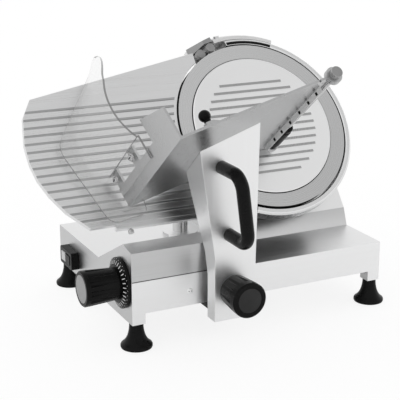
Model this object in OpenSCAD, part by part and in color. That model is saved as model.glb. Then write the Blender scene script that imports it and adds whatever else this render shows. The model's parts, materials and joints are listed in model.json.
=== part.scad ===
// Gravity feed food slicer with a leaning round blade, a sliding tray and a ribbed gauge plate.
// X runs along the carriage travel, Y runs to the back and Z up.
// The origin lies on the worktop, under the middle of the overall outline.

/* [Base] */
// Width of the base housing
base_w = 450; // [430:1:480]
// Depth of the base housing
base_d = 324; // [316:1:340]
// Height of the deck above the worktop
deck_z = 107; // [104:1:112]
// Height of the lower edge of the front apron
apron_z = 57; // [56:1:60]
// Height of the lower edge of the side skirts
skirt_z = 40; // [36:1:41]
// Wall of the cast housing
wall = 5; // [4:0.5:6]
// Width of the front legs beside the apron
leg_w = 22; // [20:1:24]
// Width of the raised control housing
control_w = 150; // [120:1:152]
// Height of the control housing at its front edge
control_front_z = 156; // [150:1:160]
// Height of the control housing at its ridge
control_ridge_z = 161.5; // [160:0.5:166]
// Distance of that ridge from the front
control_ridge_y = 33; // [25:1:40]
// Distance from the front to the foot of the slope behind the ridge
control_valley_y = 137; // [125:1:150]
// Left end of the motor hump
hump_x = 215; // [205:1:225]
// Front of the motor hump at the deck
hump_front_y = 101; // [98:1:106]
// Rise of the steep front band of the hump
band_rise = 29; // [24:1:32]
// Depth of that band
band_run = 11; // [8:1:13]
// Height of the flat top of the hump
hump_z = 215; // [212:1:218]
// Depth of the flat top of the hump
hump_top_run = 25; // [20:1:26]
// Distance of the rear foot of the hump from the front
hump_rear_y = 300; // [298:1:306]
// Thickness of the bottom cover plate
cover_plate_t = 2; // [1.5:0.5:3]
// Radius of a foot on the worktop
foot_r = 25; // [20:1:26]
// Radius of a foot under the housing
foot_neck_r = 11; // [9:0.5:12]

/* [Blade] */
// Radius of the blade
blade_r = 150; // [148:0.5:151]
// Blade centre from the left face of the base
blade_x = 300; // [297:1:303]
// Blade centre from the front of the base
blade_y = 137; // [135:0.5:139]
// Blade centre above the worktop
blade_z = 296; // [294:0.5:300]
// Lean of the blade from the vertical
blade_lean = 38.5; // [38:0.1:39]
// Width of the ground bevel
bevel_w = 24; // [20:1:26]
// Depth of the dished blade behind its edge
dish = 12; // [10:0.5:13]
// Thickness of the blade body
blade_t = 2; // [1.5:0.5:3]
// Radius of the ribbed blade cover
cover_r = 124.5; // [110:0.5:124.5]
// Gap between the blade edge and what surrounds it
edge_gap = 3; // [2:0.5:4]
// Width of the ring guard rim
ring_w = 11; // [9:1:12]
// Depth of the ring guard rim
ring_depth = 25; // [22:1:26]
// Radius of the drum that carries the blade
drum_r = 125; // [120:1:128]
// Depth of that drum
drum_depth = 55; // [53:1:58]
// Radius of the fixed blade axle
axle_r = 9; // [8:0.5:10]
// Radius of the big belt pulley
pulley_r = 60; // [50:1:64]
// Radius of the small belt pulley
motor_pulley_r = 15; // [12:1:16]
// Radius of the motor
motor_r = 42; // [36:1:43]

/* [Gauge plate] */
// Thickness of the gauge plate without its ribs
gauge_t = 8; // [6:0.5:9]
// Pitch of the ribs
rib_pitch = 13.5; // [11:0.5:16]
// Height of the ribs
rib_h = 1; // [0.6:0.2:1]
// Width of the ribs
rib_w = 4; // [3:0.5:6]
// Radius of the post that carries the gauge plate
post_r = 13; // [10:0.5:15]
// Radius of the sliding spindle behind the gauge plate
gauge_spindle_r = 10; // [8:0.5:12]
// Widest slice
slice_max = 15; // [12:0.5:15]

/* [Tray] */
// Tilt of the tray floor across the blade
tray_tilt = 14.8; // [14:0.1:16]
// Width of the tray floor
tray_w = 262; // [240:1:262]
// Gap between the blade plane and the tray
tray_near = 12; // [11:0.5:14]
// Length of the tray along the blade axis
tray_l = 237; // [232:1:240]
// Thickness of the tray sheet
tray_t = 4; // [3:0.5:5]
// Height of the tray side wall at its low stretch
side_low = 28; // [24:1:30]
// Height of the tray side wall at its tall end
side_high = 66; // [56:1:70]
// Height of the front end of the side wall
side_end = 47; // [40:1:52]
// Length of the tall end of the side wall
side_high_l = 72; // [60:1:90]
// Radius of the pusher rod
rod_r = 6; // [5:0.5:6.5]
// Thickness of the clear hand guard
guard_t = 3; // [2.5:0.5:4]
// Radius of the bend in the hand guard
guard_bend_r = 99; // [95:1:100]
// Length of the hand guard along the blade axis
guard_l = 146; // [130:1:147]

/* [Carriage] */
// Carriage travel
travel = 245; // [200:1:245]
// Width of the column foot
column_w = 68; // [60:1:70]
// Distance of the column front from the base front
column_front = 42; // [40:1:46]
// Distance of the column rear from the base front at the foot
column_rear = 17; // [14:1:20]
// Reach of the carriage handle
handle_reach = 62; // [50:1:66]
// Radius of the handle grip
handle_r = 10; // [8:0.5:11]
// Radius of the slide rod
slide_r = 9; // [8:0.5:10]
// Radius of the tray locking knob
lock_r = 28; // [26:1:29]
// Length of the tray locking knob
lock_l = 49; // [40:1:52]

/* [Controls] */
// Radius of the thickness dial
dial_r = 40; // [38:1:40]
// Radius of the thickness knob at its outer end
knob_r = 28; // [26:1:29]
// Length of the thickness knob without the dial
knob_l = 56; // [50:1:62]
// Distance of the knob axis from the front
knob_y = 40; // [40:1:46]
// Height of the knob axis
knob_z = 97.5; // [96:0.5:99]
// Travel of a push button
button_travel = 3; // [2:0.5:4]

/* [Hidden] */
$fn = 64;

// Colours
cast_colour = [0.80, 0.81, 0.83];
sheet_colour = [0.74, 0.75, 0.78];
chrome_colour = [0.66, 0.68, 0.71];
black_colour = [0.06, 0.06, 0.07];

// One overrun serves all cuts
over = 1;
// Running clearance of shafts in their bores
run = 0.05;
// Clearance between moving faces
gap = 0.3;

// The overall outline, which places the origin
gauge_reach = 412;
outline_left = blade_x - gauge_reach;
ring_outer_r = blade_r + edge_gap + ring_w;
outline_right = blade_x + ring_outer_r;
gland_l = 10;
outline_back = base_d + gland_l;
gutter_x = -276;
gutter_m = -113;
tray_far = tray_near + tray_l;
outline_front = blade_y - tray_far * cos(blade_lean)
    + (gutter_m - tray_t * (cos(tray_tilt) + sin(tray_tilt))) * sin(blade_lean);

module in_place() {
    translate([-(outline_left + outline_right) / 2, -(outline_back + outline_front) / 2, 0]) children();
}

// In the blade frame X runs along the travel, Y up in the blade plane and Z out of it to the front.
module at_blade() {
    in_place() translate([blade_x, blade_y, blade_z]) rotate([90 - blade_lean, 0, 0]) children();
}

// In the tray frame X runs across the tray floor, Y out of it and Z out of the blade plane.
module at_tray() {
    at_blade() translate([gutter_x, gutter_m, 0]) rotate([0, 0, tray_tilt]) children();
}

// Extrudes a Y-Z outline along X
module along_x(length) {
    rotate([90, 0, 90]) linear_extrude(length) children();
}

// Extrudes an X-Z outline towards the front from the given Y
module along_y(from, length) {
    translate([0, from + length, 0]) rotate([90, 0, 0]) linear_extrude(length) children();
}

// A cylinder along X
module rod_x(r, length) {
    rotate([0, 90, 0]) cylinder(r = r, h = length);
}

// A cylinder towards the front
module rod_front(r, length) {
    rotate([90, 0, 0]) cylinder(r = r, h = length);
}

// A rounded rectangle as an outline
module rounded(w, h, r) {
    translate([r, 0]) square([w - 2 * r, h]);
    translate([0, r]) square([w, h - 2 * r]);
    for (x = [r, w - r], y = [r, h - r]) translate([x, y]) circle(r, $fn = 32);
}

// Base housing
hump_lip_y = hump_front_y + band_run;
hump_lip_z = deck_z + band_rise;
slope_run = (hump_z - hump_lip_z) * tan(blade_lean);
hump_top_y = hump_lip_y + slope_run;
hump_back_y = hump_top_y + hump_top_run;
slope_shift = wall / cos(blade_lean);
hump_n = (hump_lip_y - blade_y) * -cos(blade_lean) + (hump_lip_z - blade_z) * sin(blade_lean);
pad_h = 12;
boss_r = 30;
boss_h = 5;
post_x = 170;
post_y = 190;
spindle_r = 6;
spindle_bush_r = 11;
spindle_bush_l = 18;
slide_y = 70;
slide_z = 73;
socket_r = 14;
socket_l = 8;
foot_in = 11;
rear_foot_y = min(base_d - foot_in, outline_back - foot_r);
motor_nose_r = 11;
motor_x = 36;
motor_m = -88;
rear_slope = (hump_z - deck_z) / (hump_rear_y - hump_back_y);
rear_inset = wall * sqrt(1 + pow(rear_slope, 2)) / rear_slope;
front_slope = (control_ridge_z - deck_z) / (control_valley_y - control_ridge_y);
front_inset = wall * sqrt(1 + pow(front_slope, 2)) / front_slope;

module control_outline(inset) {
    polygon([
        [inset, deck_z - wall - inset],
        [inset, control_front_z - inset],
        [control_ridge_y, control_ridge_z - inset],
        [control_valley_y - inset / wall * (front_inset - wall), deck_z - inset],
        [control_valley_y - inset / wall * (front_inset - wall), deck_z - wall - inset]
    ]);
}

module hump_outline(inset) {
    lean_shift = inset / wall * slope_shift;
    polygon([
        [hump_front_y + inset, deck_z - wall - inset],
        [hump_front_y + inset, deck_z - inset],
        [hump_lip_y + lean_shift, hump_lip_z],
        [hump_top_y + lean_shift - inset * tan(blade_lean), hump_z - inset],
        [hump_back_y - inset / wall * (rear_inset - wall / rear_slope), hump_z - inset],
        [hump_rear_y - inset / wall * rear_inset, deck_z],
        [hump_rear_y - inset / wall * rear_inset, deck_z - wall - inset]
    ]);
}

module corner_pads() {
    for (x = [0, base_w - leg_w], span = [[0, 2 * foot_in], [rear_foot_y - foot_in, base_d]])
        translate([x, span[0], skirt_z]) cube([leg_w, span[1] - span[0], pad_h]);
}

module base_shell() {
    difference() {
        union() {
            translate([0, 0, skirt_z]) cube([base_w, base_d, deck_z - skirt_z]);
            along_x(control_w) control_outline(0);
            translate([hump_x, 0, 0]) along_x(base_w - hump_x) hump_outline(0);
        }
        translate([wall, wall, skirt_z - over])
            cube([base_w - 2 * wall, base_d - 2 * wall, deck_z - wall - skirt_z + over]);
        translate([wall, 0, 0]) along_x(control_w - 2 * wall) control_outline(wall);
        translate([hump_x + wall, 0, 0]) along_x(base_w - hump_x - 2 * wall) hump_outline(wall);
        translate([leg_w, -over, skirt_z - over])
            cube([base_w - 2 * leg_w, wall + 2 * over, apron_z - skirt_z + over]);
    }
}

module base_housing() {
    color(cast_colour) difference() {
        union() {
            in_place() {
                base_shell();
                corner_pads();
                translate([post_x, post_y, deck_z]) cylinder(r = boss_r, h = boss_h);
                translate([0, knob_y, knob_z]) rod_x(spindle_bush_r, wall + spindle_bush_l);
                for (x = [wall - over, base_w - wall - socket_l])
                    translate([x, slide_y, slide_z]) rod_x(socket_r, socket_l + over);
            }
        }
        in_place() {
            translate([-over, knob_y, knob_z]) rod_x(spindle_r + run, wall + spindle_bush_l + 2 * over);
            translate([wall, slide_y, slide_z]) rod_x(slide_r, base_w - 2 * wall);
        }
        at_blade() translate([motor_x, motor_m, hump_n - wall - over])
            cylinder(r = motor_nose_r + gap, h = wall + 2 * over);
    }
}

// The bottom cover closes the rear of the housing
bottom_cover_y = 150;
bottom_cover_z = 56;
ledge_w = 8;
module bottom_cover() {
    color(sheet_colour) in_place() translate([wall, bottom_cover_y, bottom_cover_z])
        cube([base_w - 2 * wall, base_d - wall - bottom_cover_y, cover_plate_t]);
}

// Feet flare out like bells and stand on a flat rim
foot_rim_h = 6;
foot_flare_share = 0.55;
foot_waist_share = 0.62;
module foot(x, y) {
    color(black_colour) in_place() translate([x, y, 0]) rotate_extrude() polygon([
        [0, 0], [foot_r - foot_rim_h / 2, 0], [foot_r, foot_rim_h / 2], [foot_r, foot_rim_h],
        [foot_neck_r + (foot_r - foot_neck_r) * foot_flare_share, skirt_z * (1 - foot_waist_share)],
        [foot_neck_r, skirt_z * foot_waist_share], [foot_neck_r, skirt_z], [0, skirt_z]
    ]);
}
module foot_front_left() foot(foot_in, foot_in);
module foot_front_right() foot(base_w - foot_in, foot_in);
module foot_rear_left() foot(foot_in, rear_foot_y);
module foot_rear_right() foot(base_w - foot_in, rear_foot_y);

// Cord gland in the back wall
gland_x = 60;
gland_z = 80;
gland_r = 9;
gland_nut_r = 12;
gland_nut_l = 4;
gland_bore_r = 4;
module cord_gland() {
    color(black_colour) in_place() translate([gland_x, base_d + gland_l, gland_z]) difference() {
        union() {
            rod_front(gland_r, gland_l);
            translate([0, gland_nut_l - gland_l, 0]) rod_front(gland_nut_r, gland_nut_l, $fn = 6);
        }
        translate([0, over, 0]) rod_front(gland_bore_r, gland_l + over - gland_nut_l);
    }
}

// Switch box on the left face, with its two push buttons
switch_y = 229;
switch_z = 54;
switch_w = 56;
switch_h = 30;
switch_d = 14;
switch_wall = 3;
switch_floor = 2;
button_w = 18;
button_h = 16;
button_l = 11;
button_proud = 1;
switch_corner = 4;
first_button_y = 8;
second_button_y = 30;
button_rise = (switch_h - button_h) / 2;
module switch_box() {
    color(black_colour) in_place() translate([-switch_d, switch_y, switch_z]) difference() {
        along_x(switch_d) rounded(switch_w, switch_h, switch_corner);
        for (y = [first_button_y, second_button_y])
            translate([-over, y - gap, button_rise - gap])
                cube([switch_d - switch_floor + over, button_w + 2 * gap, button_h + 2 * gap]);
    }
}

module push_button(y) {
    in_place() translate([-switch_d - button_proud, switch_y + y, switch_z + button_rise])
        cube([button_l - button_travel + button_proud, button_w, button_h]);
}
module start_button() color([0.78, 0.79, 0.80]) push_button(second_button_y);
module stop_button() color(black_colour) push_button(first_button_y);

// Slide rod and guide bar under the deck
guide_y = 130;
guide_s = 12;
guide_z = 62;
module slide_rod() {
    color(chrome_colour) in_place() translate([wall, slide_y, slide_z]) rod_x(slide_r, base_w - 2 * wall);
}
module guide_bar() {
    color(chrome_colour) in_place() translate([wall, guide_y - guide_s / 2, guide_z])
        cube([base_w - 2 * wall, guide_s, guide_s]);
}

// Gauge plate, its post and its spindle
gauge_spindle_x = -160;
gauge_m = -64;
sleeve_r = 20;
sleeve_near = -70;
sleeve_far = -128;
gauge_spindle_l = 135;
gauge_face = -rib_h;
sleeve_y = blade_y + gauge_m * sin(blade_lean);
sleeve_z = blade_z + gauge_m * cos(blade_lean);
post_meet = sleeve_z - (post_y - sleeve_y) * tan(blade_lean);
post_n = -(post_y - sleeve_y) / cos(blade_lean);

module gauge_post() {
    color(chrome_colour) difference() {
        union() {
            in_place() translate([post_x, post_y, deck_z + boss_h])
                cylinder(r = post_r, h = post_meet - deck_z - boss_h);
            at_blade() translate([gauge_spindle_x, gauge_m, sleeve_far])
                cylinder(r = sleeve_r, h = sleeve_near - sleeve_far);
            at_blade() translate([gauge_spindle_x, gauge_m - post_r, post_n - post_r])
                cube([post_x + post_r - blade_x - gauge_spindle_x, 2 * post_r, 2 * post_r]);
        }
        at_blade() translate([gauge_spindle_x, gauge_m, sleeve_far - sleeve_r])
            cylinder(r = gauge_spindle_r + run, h = sleeve_near - sleeve_far + 2 * sleeve_r);
    }
}

// The outline leans back at the top and rounds out on its left
gauge_low = -139;
gauge_left_top = 85;
gauge_right_top = 143;
gauge_right_x = -88;
gauge_top_x = -386;
gauge_foot_x = -343;
gauge_bulge_low = -22;
gauge_bulge_high = 41;
gauge_corner_x = -404;
gauge_end_x = -72;
// Places on the rounded left side as shares of its reach and height
bulge_shares = [[0.0, 0.0], [0.45, 0.27], [0.72, 0.52], [0.9, 0.76], [0.985, 1.0]];

module gauge_outline() {
    difference() {
        polygon(concat(
            [[gauge_end_x, gauge_low]],
            [for (s = bulge_shares)
                [gauge_foot_x - s[0] * (gauge_reach + gauge_foot_x),
                 gauge_low + s[1] * (gauge_bulge_low - gauge_low)]],
            [[-gauge_reach, (gauge_bulge_low + gauge_bulge_high) / 2],
             [gauge_corner_x, gauge_bulge_high + rib_pitch], [gauge_top_x, gauge_left_top],
             [gauge_right_x, gauge_right_top], [gauge_right_x, 0], [gauge_end_x, 0]]
        ));
        circle(blade_r + edge_gap, $fn = 180);
    }
}

rib_count = 15;
rib_low = -126;
rib_margin = 5;
module gauge_ribs() {
    for (i = [0 : rib_count - 1]) {
        m = rib_low + i * rib_pitch;
        translate([-gauge_reach, m - rib_w / 2, gauge_face - rib_h]) cube([gauge_reach, rib_w, 2 * rib_h]);
    }
}

module gauge_plate() {
    color(sheet_colour) at_blade() {
        translate([0, 0, gauge_face - gauge_t]) linear_extrude(gauge_t) gauge_outline();
        intersection() {
            gauge_ribs();
            translate([0, 0, gauge_face - rib_h]) linear_extrude(2 * rib_h) difference() {
                gauge_outline();
                circle(blade_r + edge_gap + rib_margin, $fn = 180);
            }
        }
    }
}

// Turned lip along the lower edge of the gauge plate
lip_start = -304;
lip_end = -78;
lip_h = 8;
module gauge_lip() {
    color(cast_colour) at_blade() translate([lip_start, gauge_low - lip_h, gauge_face - gauge_t])
        linear_extrude(gauge_t) rounded(lip_end - lip_start, lip_h, lip_h / 2 - rib_h);
}

bracket_t = 7;
bracket_w = 108;
bracket_h = 46;
bracket_end = 8;
bracket_hub_r = 17;
bracket_hub_l = 16;
bracket_back = gauge_face - gauge_t - bracket_t;
module gauge_bracket() {
    color(cast_colour) at_blade() difference() {
        union() {
            translate([gauge_spindle_x + bracket_end - bracket_w, gauge_m - bracket_h / 2, bracket_back])
                linear_extrude(bracket_t) rounded(bracket_w, bracket_h, bracket_hub_r / 2);
            translate([gauge_spindle_x, gauge_m, bracket_back - bracket_hub_l])
                cylinder(r = bracket_hub_r, h = bracket_hub_l);
        }
        translate([gauge_spindle_x, gauge_m, bracket_back - bracket_hub_l - over])
            cylinder(r = gauge_spindle_r, h = bracket_t + bracket_hub_l + 2 * over);
    }
}
module gauge_spindle() {
    color(chrome_colour) at_blade()
        translate([gauge_spindle_x, gauge_m, gauge_face - gauge_t - gauge_spindle_l])
            cylinder(r = gauge_spindle_r, h = gauge_spindle_l);
}

// Thickness control: dial, fluted knob, spindle and spiral cam
dial_gap = 1;
dial_t = 9;
dial_rim_t = 4;
knob_neck_r = 25;
flute_count = 12;
flute_r = 4.5;
knob_rim = 7;
cap_r = 22;
cap_t = 2;
spindle_l = 40;
cam_r = 19;
cam_t = 7;
cam_throw = 5;
tick_count = 30;
tick_w = 1.2;
tick_l = 6;
tick_h = 0.5;
dial_x = -dial_gap;
knob_x = dial_x - dial_t;
dial_slope = (dial_t - dial_rim_t) / (dial_r - knob_r - tick_w);

module at_knob() {
    in_place() translate([0, knob_y, knob_z]) rotate([0, -90, 0]) children();
}

module thickness_dial() {
    color(black_colour) at_knob() difference() {
        union() {
            translate([0, 0, dial_gap]) rotate_extrude() polygon([
                [spindle_r, 0], [dial_r, 0], [dial_r, dial_rim_t],
                [knob_r + tick_w, dial_t], [spindle_r, dial_t]
            ]);
            for (i = [0 : tick_count - 1]) rotate([0, 0, i * 360 / tick_count])
                translate([knob_r + 2 * tick_w, 0, dial_gap + dial_t - tick_w * dial_slope])
                    rotate([0, atan(dial_slope), 0])
                        translate([0, -tick_w / 2, -tick_h]) cube([tick_l, tick_w, 2 * tick_h]);
        }
    }
}

// A grip with flutes around it, widening a little towards its outer end
module fluted_grip(r_in, r_out, length, recess_r, rim) {
    difference() {
        rotate_extrude() polygon([
            [0, 0], [r_in, 0], [r_out, length - rim], [r_out, length - cap_t],
            [r_out - cap_t, length], [0, length]
        ]);
        for (i = [0 : flute_count - 1]) rotate([0, 0, i * 360 / flute_count])
            translate([r_out + flute_r / 3, 0, flute_r])
                cylinder(r = flute_r, h = length - rim - flute_r, $fn = 24);
        translate([0, 0, length - cap_t]) cylinder(r = recess_r, h = cap_t + over);
    }
}

module thickness_knob() {
    color(black_colour) at_knob() translate([0, 0, dial_gap + dial_t]) difference() {
        fluted_grip(knob_neck_r, knob_r, knob_l, cap_r, knob_rim);
        translate([0, 0, -over]) cylinder(r = spindle_r, h = spindle_l / 2 + over);
    }
}
module thickness_knob_cap() {
    color([0.55, 0.56, 0.57]) at_knob() translate([0, 0, dial_gap + dial_t + knob_l - cap_t])
        cylinder(r = cap_r, h = cap_t);
}
cam_x = wall + spindle_bush_l + gap;
module thickness_spindle() {
    color(chrome_colour) in_place() translate([knob_x - spindle_l / 2, knob_y, knob_z])
        rod_x(spindle_r, spindle_l / 2 + dial_t + dial_gap + cam_x + cam_t);
}

// The cam grows evenly with its angle over one turn
cam_steps = 36;
module thickness_cam() {
    color(chrome_colour) in_place() translate([cam_x, knob_y, knob_z]) along_x(cam_t) difference() {
        polygon([for (i = [0 : cam_steps - 1])
            let (a = i * 360 / cam_steps, r = cam_r - cam_throw * i / cam_steps) [r * cos(a), r * sin(a)]]);
        circle(spindle_r);
    }
}

// Blade carrier, ring guard and axle
drum_wall = 5;
drum_front = -ring_depth;
drum_back = hump_n;
carrier_hub_r = 22;
carrier_hub_l = 6;
neck_half = 72;
neck_spread = 104;
neck_low = -141;
neck_high = -66;
neck_t = 18;
module blade_carrier() {
    color([0.30, 0.31, 0.33]) at_blade() difference() {
        union() {
            translate([0, 0, drum_back]) cylinder(r = drum_r, h = drum_front - drum_back, $fn = 128);
            translate([0, 0, drum_back]) linear_extrude(neck_t) polygon([
                [-neck_half, neck_low], [neck_half, neck_low],
                [neck_spread, neck_high], [-neck_spread, neck_high]
            ]);
        }
        translate([0, 0, drum_back + drum_wall])
            cylinder(r = drum_r - drum_wall, h = drum_front - drum_back, $fn = 128);
        translate([0, 0, drum_back - over]) cylinder(r = axle_r, h = drum_wall + 2 * over);
        translate([motor_x, motor_m, drum_back - over])
            cylinder(r = motor_nose_r + gap, h = drum_wall + 2 * over);
    }
}

ring_plate_t = 5;
ring_foot_t = 3;
ring_foot_w = 2;
ring_plate_r = blade_r + ring_foot_w / 2;
ring_foot_r = blade_r - ring_foot_w / 2;
ring_start = -112;
ring_end = 98;
ring_lip = 2;
ring_in = blade_r + edge_gap;
plate_front = drum_front + ring_plate_t;
module ring_plate() {
    color(cast_colour) at_blade() translate([0, 0, drum_front]) difference() {
        cylinder(r = ring_plate_r, h = ring_plate_t, $fn = 180);
        translate([0, 0, -over]) cylinder(r = drum_r - drum_wall, h = ring_plate_t + 2 * over, $fn = 128);
    }
}
module ring_guard() {
    color(cast_colour) at_blade() rotate([0, 0, ring_start])
        rotate_extrude(angle = ring_end - ring_start, $fn = 180) polygon([
            [ring_plate_r + gap, drum_front], [ring_outer_r - ring_lip, drum_front],
            [ring_outer_r, drum_front + ring_lip], [ring_outer_r, -2 * ring_lip],
            [ring_outer_r - ring_lip, -ring_lip / 2], [ring_outer_r - 2 * ring_lip, 0],
            [ring_in + ring_lip, 0], [ring_in, -ring_lip], [ring_in, plate_front + ring_foot_t],
            [ring_foot_r, plate_front + ring_foot_t], [ring_foot_r, plate_front],
            [ring_plate_r + gap, plate_front]
        ]);
}

axle_front = -dish - edge_gap / 2;
axle_back = -100;
tie_r = 4;
module blade_axle() {
    color(chrome_colour) at_blade() difference() {
        translate([0, 0, axle_back]) cylinder(r = axle_r, h = axle_front - axle_back);
        translate([0, 0, axle_back - over]) cylinder(r = tie_r, h = axle_front - axle_back + 2 * over);
    }
}

// Ribbed cover on the front of the blade, held by a tie rod through the axle
blade_cover_t = 3;
cover_edge = 1.5;
cover_boss_r = 12;
cover_rib_count = 13;
cover_rib_low = -86;
cover_rib_r = 96;
cover_rib_h = 0.9;
module blade_cover() {
    color(sheet_colour) at_blade() {
        translate([0, 0, -blade_cover_t]) rotate_extrude($fn = 128) polygon([
            [0, 0], [cover_r, 0], [cover_r, blade_cover_t - cover_edge],
            [cover_r - cover_edge, blade_cover_t], [0, blade_cover_t]
        ]);
        for (i = [0 : cover_rib_count - 1]) {
            m = cover_rib_low + i * rib_pitch;
            half = sqrt(pow(cover_rib_r, 2) - pow(m, 2));
            translate([-half, m - rib_w / 2, -cover_rib_h]) cube([2 * half, rib_w, 2 * cover_rib_h]);
        }
        translate([0, 0, axle_front]) cylinder(r = cover_boss_r, h = -axle_front - blade_cover_t);
        translate([0, 0, axle_back]) cylinder(r = tie_r, h = axle_front - axle_back);
    }
}

release_r = 14;
release_l = 18;
release_t = 3;
module cover_release_knob() {
    color(black_colour) at_blade() translate([0, 0, axle_back - release_l]) difference() {
        cylinder(r = release_r, h = release_l);
        for (i = [0 : flute_count - 1]) rotate([0, 0, i * 360 / flute_count])
            translate([release_r + release_t / 3, 0, release_t])
                cylinder(r = release_t / 2, h = release_l, $fn = 16);
    }
}

// The blade is a dished disc with a ground bevel
cone_w = 8;
bevel_drop = 3;
edge_t = 0.6;
spigot_r = 20;
flange_r = 45;
flange_t = 6;
module blade() {
    color(chrome_colour) at_blade() rotate_extrude($fn = 180) polygon([
        [blade_r, 0], [blade_r, -edge_t], [blade_r - bevel_w, -bevel_drop - blade_t],
        [blade_r - bevel_w - cone_w, -dish - blade_t], [spigot_r, -dish - blade_t], [spigot_r, -dish],
        [blade_r - bevel_w - cone_w, -dish], [blade_r - bevel_w, -bevel_drop]
    ]);
}

hub_r = 24;
bearing_r = 17.5;
hub_back = -72;
rim_front = -44;
rim_back = -62;
web_t = 6;
rim_t = 5;
flange_front = -dish - blade_t;
flange_back = flange_front - flange_t;
spigot_l = 4;
module blade_pulley() {
    color(cast_colour) at_blade() {
        difference() {
            union() {
                translate([0, 0, flange_back]) cylinder(r = flange_r, h = flange_t);
                translate([0, 0, flange_front]) cylinder(r = spigot_r, h = spigot_l);
                translate([0, 0, hub_back]) cylinder(r = hub_r, h = flange_back - hub_back);
                translate([0, 0, (rim_front + rim_back - web_t) / 2])
                    cylinder(r = pulley_r - rim_t / 2, h = web_t);
            }
            translate([0, 0, hub_back - over])
                cylinder(r = bearing_r, h = flange_front + spigot_l - hub_back + 2 * over);
        }
        translate([0, 0, rim_back]) difference() {
            cylinder(r = pulley_r, h = rim_front - rim_back, $fn = 96);
            translate([0, 0, -over])
                cylinder(r = pulley_r - rim_t, h = rim_front - rim_back + 2 * over, $fn = 96);
        }
    }
}

bearing_w = 12;
bearing_in = 2;
bearing_front = flange_back - bearing_w;
module blade_bearings() {
    color(chrome_colour) at_blade() for (n = [bearing_front, hub_back + bearing_in])
        translate([0, 0, n]) difference() {
            cylinder(r = bearing_r, h = bearing_w);
            translate([0, 0, -over]) cylinder(r = axle_r + run, h = bearing_w + 2 * over);
        }
}

screw_r = 4;
screw_h = 3;
screw_ring_r = 32;
screw_count = 3;
module blade_screws() {
    color(chrome_colour) at_blade() for (i = [0 : screw_count - 1])
        rotate([0, 0, i * 360 / screw_count]) translate([screw_ring_r, 0, -dish])
            cylinder(r = screw_r, h = screw_h);
}

// Motor inside the hump, square to the blade, and its belt
motor_l = 87;
motor_front = hump_n - wall;
motor_nose_l = 12;
motor_shaft_r = 6;
motor_bore_l = 60;
shaft_proud = 3;
fin_count = 12;
fin_w = 3;
fin_h = 2;
module motor() {
    color([0.35, 0.36, 0.38]) at_blade() translate([motor_x, motor_m, motor_front]) difference() {
        union() {
            translate([0, 0, -motor_l]) cylinder(r = motor_r - fin_h, h = motor_l);
            for (i = [0 : fin_count - 1]) rotate([0, 0, i * 360 / fin_count])
                translate([0, -fin_w / 2, -motor_l]) cube([motor_r - fin_h / 2, fin_w, motor_l * 2 / 3]);
            cylinder(r = motor_nose_r, h = motor_nose_l);
        }
        translate([0, 0, -motor_bore_l])
            cylinder(r = motor_shaft_r + run, h = motor_bore_l + motor_nose_l + over);
    }
}
module motor_pulley() {
    color(chrome_colour) at_blade() translate([motor_x, motor_m, 0]) {
        translate([0, 0, motor_front - motor_bore_l + gap])
            cylinder(r = motor_shaft_r, h = rim_front + shaft_proud - motor_front + motor_bore_l - gap);
        translate([0, 0, rim_back]) cylinder(r = motor_pulley_r, h = rim_front - rim_back);
    }
}

// The belt's two straight runs are the outer tangents of the pulleys
belt_t = 3;
belt_side = 2;
belt_span = norm([motor_x, motor_m]);
belt_angle = atan2(motor_m, motor_x);
function tangent_lift() = acos((pulley_r - motor_pulley_r) / belt_span);
module belt_outline(grow) {
    a = tangent_lift();
    big = pulley_r + grow;
    small = motor_pulley_r + grow;
    circle(big, $fn = 96);
    translate([belt_span, 0]) circle(small, $fn = 96);
    polygon([
        [big * cos(a), big * sin(a)], [big * cos(a), -big * sin(a)],
        [belt_span + small * cos(a), -small * sin(a)], [belt_span + small * cos(a), small * sin(a)]
    ]);
}
module drive_belt() {
    color(black_colour) at_blade() rotate([0, 0, belt_angle]) translate([0, 0, rim_back + belt_side])
        linear_extrude(rim_front - rim_back - 2 * belt_side) difference() {
            belt_outline(gap + belt_t);
            belt_outline(gap);
        }
}

// Sharpener over the top of the ring guard
sharp_start = 66;
sharp_end = 104;
plate_end = 119;
sharp_in = 165;
sharp_out = 173;
sharp_back_r = 181;
sharp_crown = -20;
sharp_front = -4;
sharp_plate_t = 8;
sharp_plate_back = drum_front - sharp_plate_t;
sharp_screw_r = 5;
sharp_screw_h = 1.5;
sharp_screw_angle = 100;
sharp_slope = 90 - atan((sharp_back_r - sharp_out) / (sharp_front - ring_lip - sharp_crown));
grinding_angle = 115.5;
honing_angle = 108.5;
stone_r = 8;
stone_t = 8;
stone_ring_r = 160;
stone_pin_r = 3;
grinding_front = -8;
honing_front = -2;
module sharpener_housing() {
    color(cast_colour) at_blade() {
        rotate([0, 0, sharp_start]) rotate_extrude(angle = sharp_end - sharp_start, $fn = 180) polygon([
            [sharp_in, drum_front], [sharp_back_r, drum_front], [sharp_back_r, sharp_crown],
            [sharp_out, sharp_front - ring_lip], [sharp_out - ring_lip, sharp_front],
            [sharp_in, sharp_front]
        ]);
        rotate([0, 0, sharp_screw_angle]) translate([sharp_out, 0, (sharp_front + sharp_crown) / 2])
            rotate([0, sharp_slope, 0]) cylinder(r = sharp_screw_r, h = sharp_screw_h + sharp_screw_r);
    }
}
module sharpener_bracket() {
    color(sheet_colour) at_blade() difference() {
        rotate([0, 0, sharp_start]) rotate_extrude(angle = plate_end - sharp_start, $fn = 180)
            translate([drum_r + gap, sharp_plate_back])
                square([sharp_back_r - drum_r - gap, sharp_plate_t]);
        for (a = [grinding_angle, honing_angle])
            rotate([0, 0, a]) translate([stone_ring_r, 0, sharp_plate_back - over])
                cylinder(r = stone_pin_r + run, h = sharp_plate_t + 2 * over);
    }
}
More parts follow.
